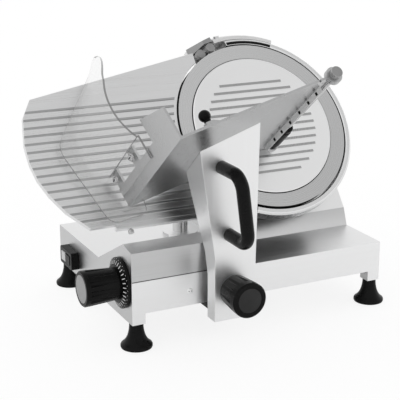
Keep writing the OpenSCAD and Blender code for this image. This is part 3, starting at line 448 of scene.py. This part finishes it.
def lathe(profile, steps):
    """A revolve of (radius, height) round Z."""
    bm = bmesh.new()
    angles = [2 * math.pi * i / steps for i in range(steps)]
    rings = []
    for r, z in profile:
        if r:
            rings.append([bm.verts.new((r * math.cos(a), r * math.sin(a), z)) for a in angles])
        else:
            rings.append([bm.verts.new((0, 0, z))])
    for low, high in zip(rings, rings[1:]):
        for i in range(steps):
            j = (i + 1) % steps
            loop = [low[i % len(low)], low[j % len(low)], high[j % len(high)], high[i % len(high)]]
            loop = [v for k, v in enumerate(loop) if v not in loop[:k]]
            if len(loop) > 2:
                bm.faces.new(loop)
    return bm


def round_edges(bm, r, profile):
    bmesh.ops.bevel(bm, geom=bm.edges[:], offset=r, segments=2, profile=profile, affect="EDGES")
    return bm


def rounded_box(size, r):
    bm = bmesh.new()
    bmesh.ops.create_cube(bm, size=1)
    bmesh.ops.scale(bm, vec=size, verts=bm.verts[:])
    return round_edges(bm, r, profile=0.7)


def frustum(low, high, z_low, z_high, r):
    """A block between two outlines of four corners."""
    bm = bmesh.new()
    a = [bm.verts.new((*p, z_low)) for p in low]
    b = [bm.verts.new((*p, z_high)) for p in high]
    bm.faces.new(a[::-1])
    bm.faces.new(b)
    for i in range(4):
        j = (i + 1) % 4
        bm.faces.new((a[i], a[j], b[j], b[i]))
    return round_edges(bm, r, profile=0.6)


def arc_strip(radii, degrees, heights, steps=24):
    """A curved strip round Z, between two radii, two angles and two heights."""
    (r_in, r_out), (start, end), (low, high) = radii, degrees, heights
    bm = bmesh.new()
    rows = []
    for i in range(steps + 1):
        a = math.radians(start + (end - start) * i / steps)
        rows.append([bm.verts.new((r * math.cos(a), r * math.sin(a), z))
                     for r, z in ((r_in, low), (r_out, low), (r_out, high), (r_in, high))])
    for p, q in zip(rows, rows[1:]):
        for k in range(4):
            j = (k + 1) % 4
            bm.faces.new((p[k], p[j], q[j], q[k]))
    bm.faces.new(rows[0][::-1])
    bm.faces.new(rows[-1])
    return bm


def join_into(bm, other, matrix=Matrix()):
    """Adds a second bmesh to the first one."""
    bmesh.ops.transform(other, matrix=matrix, verts=other.verts[:])
    mesh = bpy.data.meshes.new("part")
    other.to_mesh(mesh)
    other.free()
    bm.from_mesh(mesh)
    bpy.data.meshes.remove(mesh)


def base(x, y, z):
    return IN_BASE @ Vector((x, y, z))


# ---- base

HOUSING_FINISHES_AND_SHADES = [DECK, FRONT, PANEL_SHADE, SIDE_SHADE, HOUSING]


def housing_faces(c, n):
    """Deck, front and apron, control panel, sides and slopes each take their own metal; the
    control panel, the sides and the front band above the deck take darker copies of the brushed
    metal, as painted shade.
    """
    forward = n.y < -SQUARE_SHARE
    if forward and c.y < base(0, FRONT_DEPTH, 0).y:
        on_panel = c.x < base(CONTROL_W, 0, 0).x and c.z > SEAM_Z / 1000
        finish_or_shade = PANEL_SHADE if on_panel else FRONT
    elif forward and c.z > DECK_Z / 1000 or abs(n.x) > SQUARE_SHARE:
        finish_or_shade = SIDE_SHADE
    else:
        finish_or_shade = DECK if n.z > LEVEL_SHARE else HOUSING
    return HOUSING_FINISHES_AND_SHADES.index(finish_or_shade)


dress("base_housing", HOUSING_FINISHES_AND_SHADES, edge=1.0, segments=3, angle=25, choose=housing_faces,
      cut_z=SEAM_Z)

FOOT = [(0, 0), (22.5, 0), (24.3, 0.7), (25, 2.2), (25, 4.6), (24.2, 6.2), (22.6, 7.4),
        (20.4, 9.4), (18.0, 12.2), (16.0, 15.4), (14.2, 19.4), (12.8, 24.0), (11.8, 29.0),
        (11.2, 34.0), (11, 38.8), (10.4, 40), (0, 40)]
for row, y in (("front", FOOT_IN), ("rear", REAR_FOOT_Y)):
    for side, x in (("left", FOOT_IN), ("right", BASE_W - FOOT_IN)):
        foot = f"foot_{row}_{side}"
        add(foot + "_bell", lathe(FOOT, steps=72), IN_BASE @ spot(x, y), RUBBER, "base",
            [foot])

# The control housing's seam, and a screw with two holes in the apron
SEAM_SIZE, SEAM_AT, SEAM_R = (149, 0.6, 1.0), (75.2, 0, 109.8), 0.2
add("housing_seam", rounded_box(SEAM_SIZE, SEAM_R), IN_BASE @ spot(*SEAM_AT), DARK_JOINT_AND_SLOT_SHADE, "base")
APRON_SCREW = IN_BASE @ spot(97, 0, 80.4) @ FACING_FRONT
SCREW_HEAD = [(0, -0.4), (4.6, -0.4), (4.6, 0.6), (4.2, 1.0), (3.4, 1.2), (0, 1.2)]
SCREW_HOLE = [(0, 0.9), (0.75, 0.9), (0.75, 1.3), (0, 1.3)]
SCREW_HOLE_X = 1.9
add("apron_screw", lathe(SCREW_HEAD, steps=32), APRON_SCREW, HOUSING, "base")
# The screw's two holes are dark discs on its head, painted shade for the holes.
holes = bmesh.new()
for x in (SCREW_HOLE_X, -SCREW_HOLE_X):
    join_into(holes, lathe(SCREW_HOLE, steps=16), spot(x, 0))
add("apron_screw_holes", holes, APRON_SCREW, DARK_JOINT_AND_SLOT_SHADE, "base")


# ---- carriage

STRIP_SIZE, STRIP_AT, STRIP_R = (1.6, 9, 204), (259, -8, 124), 0.5
NOTCH_SIZE, NOTCH_X, NOTCH_Y, NOTCH_R = (0.8, 5, 5), 258.1, -8.4, 0.2
NOTCHES_Z = (58, 86, 118, 152, 184, 212)

dress("column", [COLUMN], edge=1.0, segments=3, angle=25)
dress("food_tray", [TRAY], edge=1.2, segments=3)
add("tray_edge_strip", rounded_box(STRIP_SIZE, STRIP_R), AT_TRAY @ spot(*STRIP_AT), WHITE_CAP,
    "carriage")
notches = bmesh.new()
for z in NOTCHES_Z:
    join_into(notches, rounded_box(NOTCH_SIZE, NOTCH_R), spot(NOTCH_X, NOTCH_Y, z))
add("tray_edge_notches", notches, AT_TRAY, DARK_JOINT_AND_SLOT_SHADE, "carriage")
dress("carriage_arm", [DARK_PAINT_AND_SHADE], edge=0.6)
dress("carriage_handle", [BLACK], edge=0, segments=1, angle=60)

# The guard's flange lies below one height, and its own cut edge between two
FLANGE_Z, FLANGE_EDGE_Z = 12, (8.2, 10.8)
# The guard's faces stand along z but for this share, and look along the bend's radius
# from this share on
SLACK_SHARE, RADIAL_SHARE = 0.05, 0.6


def guard_edge_shade(c, n):
    """The sheet's cut edges take a painted shade, a grey outline that stands in for the light they
    bend, and show more than its faces, which bend round one line.
    """
    at, way = FROM_TRAY @ c, (TRAY_TURN @ n).normalized()
    if abs(way.z) > SQUARE_SHARE:
        return at.z >= FLANGE_Z
    if abs(way.z) > SLACK_SHARE or FLANGE_EDGE_Z[0] < at.z < FLANGE_EDGE_Z[1]:
        return True
    radial = (at.xy - GUARD_BEND).normalized()
    return abs(way.xy.dot(radial)) < RADIAL_SHARE


dress("hand_guard", [CLEAR, CLEAR_EDGE_SHADE], edge=0.3, segments=1, angle=40, choose=guard_edge_shade)

# Two cup heads on washers hold the guard, each with a slot across
CUP_HEAD = [(0, 0), (6.8, 0), (6.8, 0.8), (5, 0.9), (5, 3.2), (4.6, 3.8), (3.8, 4), (0, 4)]
CUP_SLOT_SIZE, CUP_SLOT_Z, CUP_SLOT_R = (8.4, 1.3, 0.8), 3.8, 0.2
GUARD_SCREWS_Y, GUARD_SCREWS_Z = 40, (26, 106)


def cup_head():
    return lathe(CUP_HEAD, steps=40)


def cup_slot():
    slot = rounded_box(CUP_SLOT_SIZE, CUP_SLOT_R)
    bmesh.ops.translate(slot, vec=(0, 0, CUP_SLOT_Z), verts=slot.verts[:])
    return slot


def on_guard(make):
    """What make gives, at each of the guard's screws."""
    both = bmesh.new()
    for z in GUARD_SCREWS_Z:
        join_into(both, make(), spot(GUARD_OUT, GUARD_SCREWS_Y, z) @ FACING_LEFT)
    return both


add("guard_screw_heads", on_guard(cup_head), AT_TRAY, CHROME, "carriage",
    ["guard_screws"])
# The slots are dark bars on the heads, painted shade for the slots.
add("guard_screw_slots", on_guard(cup_slot), AT_TRAY, DARK_JOINT_AND_SLOT_SHADE, "carriage")


# ---- blade, gauge plate and sharpener

BEVEL_R = 125.8
COVER_RIBS_Z, PLATE_RIBS_Z = 0.4, -0.7
DRUM_LOW_Y = -40
# The sharpener's screw: its angle and half width, a point and the slope of the face that it
# stands on, how far it stands proud, and between which heights
SCREW_DEGREES, SCREW_HALF = 100, 2.2
SLOPE_AT, SLOPE_OUT, SLOPE_PROUD = (177, -13), (0.868, 0.496), 0.3
SCREW_Z = (-18, -6.5)


def bevel_face(c, n):
    return (FROM_BLADE @ c).xy.length > BEVEL_R


def rib_shade_faces(z):
    """Faces that stand proud of a ribbed surface at this height, which take the ribs' painted
    shade.
    """
    return lambda c, n: (FROM_BLADE @ c).z > z


def drum_shade(c, n):
    """Painted shade behind the blade, and round the lower part where little light comes."""
    facing = n.dot(BLADE_OUT)
    low = (FROM_BLADE @ c).y < DRUM_LOW_Y
    return facing > FACING_SHARE or low and facing > -FACING_SHARE


def sharpener_screw(c, n):
    at = FROM_BLADE @ c
    r, degrees = at.xy.length, math.degrees(math.atan2(at.y, at.x))
    proud = SLOPE_OUT[0] * (r - SLOPE_AT[0]) + SLOPE_OUT[1] * (at.z - SLOPE_AT[1])
    near = abs(degrees - SCREW_DEGREES) < SCREW_HALF and SCREW_Z[0] < at.z < SCREW_Z[1]
    return near and proud > SLOPE_PROUD


dress("blade", [BLADE_SHADE, BEVEL], edge=0, segments=1, choose=bevel_face)
dress("blade_cover", [COVER, COVER_RIB_SHADE], edge=0, segments=1, choose=rib_shade_faces(COVER_RIBS_Z))
dress("ring_guard", [RING], edge=0.5)
dress("ring_plate", [DRUM, DARK_PAINT_AND_SHADE], edge=0.4, choose=drum_shade)
dress("blade_carrier", [DRUM, DARK_PAINT_AND_SHADE], edge=0.6, choose=drum_shade)
dress("gauge_plate", [PLATE, RIB_SHADE], edge=0.45, choose=rib_shade_faces(PLATE_RIBS_Z))
dress("gauge_lip", [PLATE], edge=0.6)
dress("gauge_bracket", [HOUSING], edge=0.8)
dress("gauge_post", [CHROME], edge=0.5)
dress("sharpener_housing", [WHITE_CAP, CHROME], edge=1.0, segments=3, choose=sharpener_screw)
dress("sharpener_bracket", [HOUSING], edge=0.8)

END_COVER_LOW = [(-42.3, 163.6), (-46.1, 178.1), (-86.4, 162.5), (-83.2, 147.1)]
END_COVER_HIGH = [(-42.6, 164.6), (-44.8, 173.3), (-60.9, 167.3), (-59.9, 160.2)]
END_COVER_Z, END_COVER_R = (-24.9, -5), 0.9
SLOT_RADII, SLOT_DEGREES, SLOT_Z = (153.6, 158.4), (67, 97.5), (-0.4, 0.35)
THUMB_SCREW = [(0, 0), (2.2, 0), (2.2, 2), (4.2, 2.4), (4.6, 3), (4.6, 7), (4.2, 7.6), (0, 7.8)]
THUMB_SCREW_AT = (-280, -146.6, -5)
add("sharpener_end_cover", frustum(END_COVER_LOW, END_COVER_HIGH, *END_COVER_Z, END_COVER_R),
    AT_BLADE, COVER_GREY, "base")
# The sharpener's slot is a dark strip, painted shade for the gap.
add("sharpener_slot", arc_strip(SLOT_RADII, SLOT_DEGREES, SLOT_Z), AT_BLADE, DARK_JOINT_AND_SLOT_SHADE, "base")
add("gauge_thumb_screw", lathe(THUMB_SCREW, steps=28),
    AT_BLADE @ spot(*THUMB_SCREW_AT) @ FACING_FRONT, STEEL, "gauge")


# ---- controls

# The dial's cone falls from a height at a radius, and its ticks stand proud of it
TICK_RADII = (29.8, 38)
CONE_R, CONE_Z, CONE_FALL = 29.2, 10.15, 0.463
DOT = [(0, -0.4), (0.6, -0.4), (0.5, 0.35), (0, 0.45)]
DOT_COUNT, DOTS_R, DOTS_Z = 30, 38.2, 5.85


def dial_tick(c, n):
    at = FROM_KNOB @ c
    r = at.xy.length
    return TICK_RADII[0] < r < TICK_RADII[1] and at.z > CONE_Z - (r - CONE_R) * CONE_FALL


dress("switch_box", [BLACK], edge=1.0, segments=3)
dress("start_button", [BUTTON_PALE], edge=0.8, segments=3)
dress("stop_button", [BLACK], edge=0.8, segments=3)
dress("thickness_dial", [BLACK, MARK], edge=0.15, segments=1, choose=dial_tick)
dress("thickness_knob", [BLACK], edge=0.5)
dress("thickness_knob_cap", [CAP_GREY], edge=0.5)
dress("tray_lock_knob", [BLACK], edge=0.5)
dress("tray_lock_cap", [CAP_DARK], edge=0.5)
dots = bmesh.new()
for i in range(DOT_COUNT):
    a = 2 * math.pi * (i + 0.5) / DOT_COUNT
    join_into(dots, lathe(DOT, steps=10), spot(DOTS_R * math.cos(a), DOTS_R * math.sin(a), DOTS_Z))
add("dial_dots", dots, AT_KNOB, MARK, "thickness_control")


# ---- pusher

PIVOT_AT, PIVOT_R = Vector((276, -2)), 12.6


def pivot_face(c, n):
    return ((FROM_TRAY @ c).xy - PIVOT_AT).length < PIVOT_R


dress("pusher_rod", [CHROME], edge=0.4)
dress("rod_end_cap", [DARK_CHROME], edge=0.8)
dress("pusher_sleeve", [BLACK], edge=0.5)
dress("pusher_arm", [TRAY, BLACK], edge=0.5, choose=pivot_face)
dress("pusher_plate", [TRAY], edge=0.3)
dress("pusher_knob", [BLACK], edge=0, segments=1, angle=40)


# ---- pieces that keep their CAD mesh

PLAIN = {
    "slide_rod": CHROME, "guide_bar": CHROME, "gauge_spindle": CHROME,
    "cord_gland": BLACK_MATT, "drive_belt": BLACK_MATT, "cover_release_knob": BLACK,
    "thickness_spindle": STEEL, "thickness_cam": STEEL, "blade_axle": STEEL,
    "blade_bearings": STEEL, "blade_screws": STEEL, "motor_pulley": STEEL,
    "blade_pulley": HOUSING, "slide_block": HOUSING, "bottom_cover": SIDE_SHADE,
    # the bottom cover takes the sides' darker copy, with its painted shade
    "motor": DARK_PAINT_AND_SHADE, "slide_bushes": BRASS, "grinding_stone": STONE, "honing_stone": STONE,
}
for name, material in PLAIN.items():
    mesh = frame["nodes"][name].data
    mesh.materials.clear()
    mesh.materials.append(material)


# ---- stage

FLOOR_M = 40
FLOOR_DARK, FLOOR_LIGHT = 0.93, 0.94
# The floor's own glow, the share of it that the camera sees, and of that what reflections see
FLOOR_GLOW, FLOOR_GLOW_SHARE, MIRRORED_SHARE = 1.06, 0.8, 0.5
# The ceiling greys from one height to another, as the upward share of a direction
CEILING_FROM, CEILING_TO, CEILING_LEVEL = 0.2, 0.95, 0.64
WORLD_LIGHT = 0.88


def make_floor():
    bpy.ops.mesh.primitive_plane_add(size=FLOOR_M)
    floor = bpy.context.object
    floor.name = "floor"
    n = Nodes("pale_floor")
    n.set(Roughness=0.9)
    n.colour(n.tone(n.noise(scale=2, detail=2), grey(FLOOR_DARK), grey(FLOOR_LIGHT)))
    # the camera sees most of the floor as plain white, reflections see half as much,
    # and the rest keeps the shadow
    path = n.add("ShaderNodeLightPath")
    glow = n.add("ShaderNodeEmission")
    glow.inputs["Color"].default_value = (1, 1, 1, 1)
    glow.inputs["Strength"].default_value = FLOOR_GLOW
    mix = n.add("ShaderNodeMixShader")
    mirrored = n.maths("MULTIPLY", path.outputs["Is Glossy Ray"], MIRRORED_SHARE)
    seen = n.maths("MAXIMUM", path.outputs["Is Camera Ray"], mirrored)
    n.link(n.maths("MULTIPLY", seen, FLOOR_GLOW_SHARE), mix.inputs[0])
    n.link(n.shader.outputs[0], mix.inputs[1])
    n.link(glow.outputs[0], mix.inputs[2])
    n.link(mix.outputs[0], n.tree.nodes["Material Output"].inputs["Surface"])
    floor.data.materials.append(n.material)


def make_world():
    world = bpy.data.worlds.new("studio")
    bpy.context.scene.world = world
    world.use_nodes = True
    tree = world.node_tree
    back = tree.nodes["Background"]

    def node(kind, **values):
        new = tree.nodes.new(kind)
        for key, value in values.items():
            setattr(new, key, value)
        return new

    # white all round, and a greyer ceiling
    way = node("ShaderNodeTexCoord")
    parts = node("ShaderNodeSeparateXYZ")
    tree.links.new(way.outputs["Generated"], parts.inputs[0])
    fall = node("ShaderNodeMapRange", interpolation_type="SMOOTHSTEP")
    for key, value in (("From Min", CEILING_FROM), ("From Max", CEILING_TO),
                       ("To Min", 1.0), ("To Max", CEILING_LEVEL)):
        fall.inputs[key].default_value = value
    tree.links.new(parts.outputs[2], fall.inputs["Value"])
    tree.links.new(fall.outputs["Result"], back.inputs["Color"])
    # full strength where it is seen, and a little less as light
    path = node("ShaderNodeLightPath")
    seen = path.outputs["Is Camera Ray"]
    for name in ("Is Glossy Ray", "Is Transmission Ray"):
        either = node("ShaderNodeMath", operation="MAXIMUM")
        tree.links.new(seen, either.inputs[0])
        tree.links.new(path.outputs[name], either.inputs[1])
        seen = either.outputs[0]
    level = node("ShaderNodeMapRange")
    level.inputs["To Min"].default_value = WORLD_LIGHT
    level.inputs["To Max"].default_value = 1.0
    tree.links.new(seen, level.inputs["Value"])
    tree.links.new(level.outputs["Result"], back.inputs["Strength"])


def sun(name, energy, azimuth, elevation, angle):
    """A lamp whose light comes from an azimuth, clockwise from the back, in degrees."""
    data = bpy.data.lights.new(name, "SUN")
    data.energy = energy
    data.angle = math.radians(angle)
    lamp = bpy.data.objects.new(name, data)
    a, e = math.radians(azimuth), math.radians(elevation)
    towards = -Vector((math.sin(a) * math.cos(e), math.cos(a) * math.cos(e), math.sin(e)))
    lamp.rotation_mode = "QUATERNION"
    lamp.rotation_quaternion = towards.to_track_quat("-Z", "Y")
    bpy.context.scene.collection.objects.link(lamp)


make_floor()
make_world()
sun("key", energy=0.35, azimuth=300, elevation=60, angle=90)
sun("fill", energy=0.25, azimuth=75, elevation=28, angle=60)
bpy.context.scene.view_settings.view_transform = "Standard"
